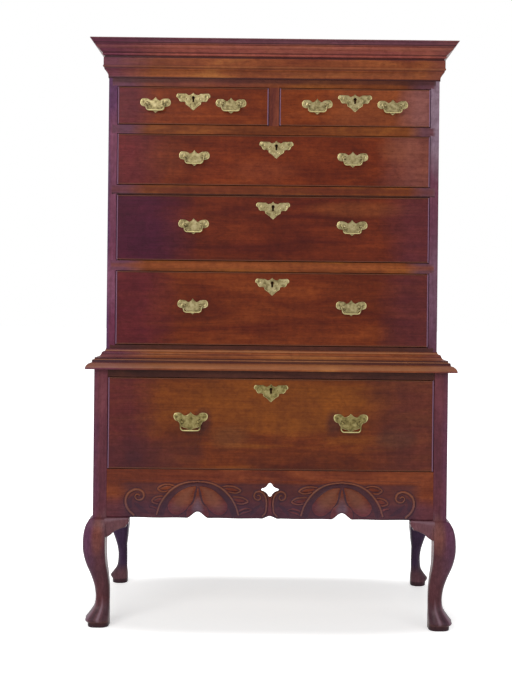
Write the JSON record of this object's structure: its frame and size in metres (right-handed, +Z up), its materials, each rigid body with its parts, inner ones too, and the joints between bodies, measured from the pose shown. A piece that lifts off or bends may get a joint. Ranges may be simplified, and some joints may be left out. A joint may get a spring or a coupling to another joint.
{
  "type": "highboy",
  "caption": "Flat-topped chest of drawers on a drawered stand with a carved, scalloped apron and cabriole legs; drawers slide out and brass drop handles swing.",
  "frame": {"origin": "on the floor, under the middle of the whole piece", "axes": "+Z up, the drawers face -Y and open along -Y, +X is the right of someone who faces the drawers"},
  "size_m": [1.0814, 0.5514, 1.712],
  "materials": {
    "show_wood": "polished red-brown mahogany with a worn wax shine",
    "secondary_wood": "plain oak and pine, unpolished and darkened with age",
    "brass": "aged, rubbed bright on the raised parts",
    "lock_iron": "dark filed iron"
  },
  "bodies": {
    "case": {"leg_front_left": "show_wood", "leg_front_right": "show_wood", "leg_rear_left": "show_wood", "leg_rear_right": "show_wood", "base_side_left": "show_wood", "base_side_right": "show_wood", "base_back": "secondary_wood", "base_top_rail": "show_wood", "apron": "show_wood", "knee_brackets": "show_wood", "waist_moulding_front": "show_wood", "waist_moulding_returns": "show_wood", "base_runners": "secondary_wood", "upper_side_left": "show_wood", "upper_side_right": "show_wood", "upper_top_board": "show_wood", "upper_bottom_board": "secondary_wood", "upper_back_boards": "secondary_wood", "drawer_blades": "show_wood", "top_drawer_divider": "show_wood", "upper_runners": "secondary_wood", "cornice_front": "show_wood", "cornice_returns": "show_wood", "glue_blocks": "secondary_wood"},
    "drawer_top_left": {"drawer_top_left_front": "show_wood", "drawer_top_left_box": "secondary_wood", "drawer_top_left_brasses": "brass"},
    "drawer_top_left_bail_left": {"drawer_top_left_bail_left": "brass"},
    "drawer_top_left_bail_right": {"drawer_top_left_bail_right": "brass"},
    "drawer_top_left_bolt": {"drawer_top_left_bolt": "lock_iron"},
    "drawer_top_right": {"drawer_top_right_front": "show_wood", "drawer_top_right_box": "secondary_wood", "drawer_top_right_brasses": "brass"},
    "drawer_top_right_bail_left": {"drawer_top_right_bail_left": "brass"},
    "drawer_top_right_bail_right": {"drawer_top_right_bail_right": "brass"},
    "drawer_top_right_bolt": {"drawer_top_right_bolt": "lock_iron"},
    "drawer_second": {"drawer_second_front": "show_wood", "drawer_second_box": "secondary_wood", "drawer_second_brasses": "brass"},
    "drawer_second_bail_left": {"drawer_second_bail_left": "brass"},
    "drawer_second_bail_right": {"drawer_second_bail_right": "brass"},
    "drawer_second_bolt": {"drawer_second_bolt": "lock_iron"},
    "drawer_third": {"drawer_third_front": "show_wood", "drawer_third_box": "secondary_wood", "drawer_third_brasses": "brass"},
    "drawer_third_bail_left": {"drawer_third_bail_left": "brass"},
    "drawer_third_bail_right": {"drawer_third_bail_right": "brass"},
    "drawer_third_bolt": {"drawer_third_bolt": "lock_iron"},
    "drawer_fourth": {"drawer_fourth_front": "show_wood", "drawer_fourth_box": "secondary_wood", "drawer_fourth_brasses": "brass"},
    "drawer_fourth_bail_left": {"drawer_fourth_bail_left": "brass"},
    "drawer_fourth_bail_right": {"drawer_fourth_bail_right": "brass"},
    "drawer_fourth_bolt": {"drawer_fourth_bolt": "lock_iron"},
    "drawer_base": {"drawer_base_front": "show_wood", "drawer_base_box": "secondary_wood", "drawer_base_brasses": "brass"},
    "drawer_base_bail_left": {"drawer_base_bail_left": "brass"},
    "drawer_base_bail_right": {"drawer_base_bail_right": "brass"},
    "drawer_base_bolt": {"drawer_base_bolt": "lock_iron"}
  },
  "joints": [
    {"name": "drawer_top_left_slide", "type": "slide", "parent": "case", "child": "drawer_top_left", "axis": [0, -1, 0], "range_m": [0, 0.33]},
    {"name": "drawer_top_left_bail_left_hinge", "type": "hinge", "parent": "drawer_top_left", "child": "drawer_top_left_bail_left", "pos_m": [-0.34871, -0.2285, 1.5295], "axis": [-1, 0, 0], "range_deg": [-15, 190]},
    {"name": "drawer_top_left_bail_right_hinge", "type": "hinge", "parent": "drawer_top_left", "child": "drawer_top_left_bail_right", "pos_m": [-0.12679, -0.2285, 1.5295], "axis": [-1, 0, 0], "range_deg": [-15, 190]},
    {"name": "drawer_top_left_bolt_slide", "type": "slide", "parent": "drawer_top_left", "child": "drawer_top_left_bolt", "axis": [0, 0, 1], "range_m": [0, 0.008]},
    {"name": "drawer_top_right_slide", "type": "slide", "parent": "case", "child": "drawer_top_right", "axis": [0, -1, 0], "range_m": [0, 0.33]},
    {"name": "drawer_top_right_bail_left_hinge", "type": "hinge", "parent": "drawer_top_right", "child": "drawer_top_right_bail_left", "pos_m": [0.12679, -0.2285, 1.5295], "axis": [-1, 0, 0], "range_deg": [-15, 190]},
    {"name": "drawer_top_right_bail_right_hinge", "type": "hinge", "parent": "drawer_top_right", "child": "drawer_top_right_bail_right", "pos_m": [0.34871, -0.2285, 1.5295], "axis": [-1, 0, 0], "range_deg": [-15, 190]},
    {"name": "drawer_top_right_bolt_slide", "type": "slide", "parent": "drawer_top_right", "child": "drawer_top_right_bolt", "axis": [0, 0, 1], "range_m": [0, 0.008]},
    {"name": "drawer_second_slide", "type": "slide", "parent": "case", "child": "drawer_second", "axis": [0, -1, 0], "range_m": [0, 0.33]},
    {"name": "drawer_second_bail_left_hinge", "type": "hinge", "parent": "drawer_second", "child": "drawer_second_bail_left", "pos_m": [-0.23299, -0.2285, 1.3745], "axis": [-1, 0, 0], "range_deg": [-15, 190]},
    {"name": "drawer_second_bail_right_hinge", "type": "hinge", "parent": "drawer_second", "child": "drawer_second_bail_right", "pos_m": [0.23299, -0.2285, 1.3745], "axis": [-1, 0, 0], "range_deg": [-15, 190]},
    {"name": "drawer_second_bolt_slide", "type": "slide", "parent": "drawer_second", "child": "drawer_second_bolt", "axis": [0, 0, 1], "range_m": [0, 0.008]},
    {"name": "drawer_third_slide", "type": "slide", "parent": "case", "child": "drawer_third", "axis": [0, -1, 0], "range_m": [0, 0.33]},
    {"name": "drawer_third_bail_left_hinge", "type": "hinge", "parent": "drawer_third", "child": "drawer_third_bail_left", "pos_m": [-0.23299, -0.2285, 1.174], "axis": [-1, 0, 0], "range_deg": [-15, 190]},
    {"name": "drawer_third_bail_right_hinge", "type": "hinge", "parent": "drawer_third", "child": "drawer_third_bail_right", "pos_m": [0.23299, -0.2285, 1.174], "axis": [-1, 0, 0], "range_deg": [-15, 190]},
    {"name": "drawer_third_bolt_slide", "type": "slide", "parent": "drawer_third", "child": "drawer_third_bolt", "axis": [0, 0, 1], "range_m": [0, 0.008]},
    {"name": "drawer_fourth_slide", "type": "slide", "parent": "case", "child": "drawer_fourth", "axis": [0, -1, 0], "range_m": [0, 0.33]},
    {"name": "drawer_fourth_bail_left_hinge", "type": "hinge", "parent": "drawer_fourth", "child": "drawer_fourth_bail_left", "pos_m": [-0.23299, -0.2285, 0.938], "axis": [-1, 0, 0], "range_deg": [-15, 190]},
    {"name": "drawer_fourth_bail_right_hinge", "type": "hinge", "parent": "drawer_fourth", "child": "drawer_fourth_bail_right", "pos_m": [0.23299, -0.2285, 0.938], "axis": [-1, 0, 0], "range_deg": [-15, 190]},
    {"name": "drawer_fourth_bolt_slide", "type": "slide", "parent": "drawer_fourth", "child": "drawer_fourth_bolt", "axis": [0, 0, 1], "range_m": [0, 0.008]},
    {"name": "drawer_base_slide", "type": "slide", "parent": "case", "child": "drawer_base", "axis": [0, -1, 0], "range_m": [0, 0.34]},
    {"name": "drawer_base_bail_left_hinge", "type": "hinge", "parent": "drawer_base", "child": "drawer_base_bail_left", "pos_m": [-0.23299, -0.2615, 0.6], "axis": [-1, 0, 0], "range_deg": [-15, 190]},
    {"name": "drawer_base_bail_right_hinge", "type": "hinge", "parent": "drawer_base", "child": "drawer_base_bail_right", "pos_m": [0.23299, -0.2615, 0.6], "axis": [-1, 0, 0], "range_deg": [-15, 190]},
    {"name": "drawer_base_bolt_slide", "type": "slide", "parent": "drawer_base", "child": "drawer_base_bolt", "axis": [0, 0, 1], "range_m": [0, 0.008]}
  ]
}
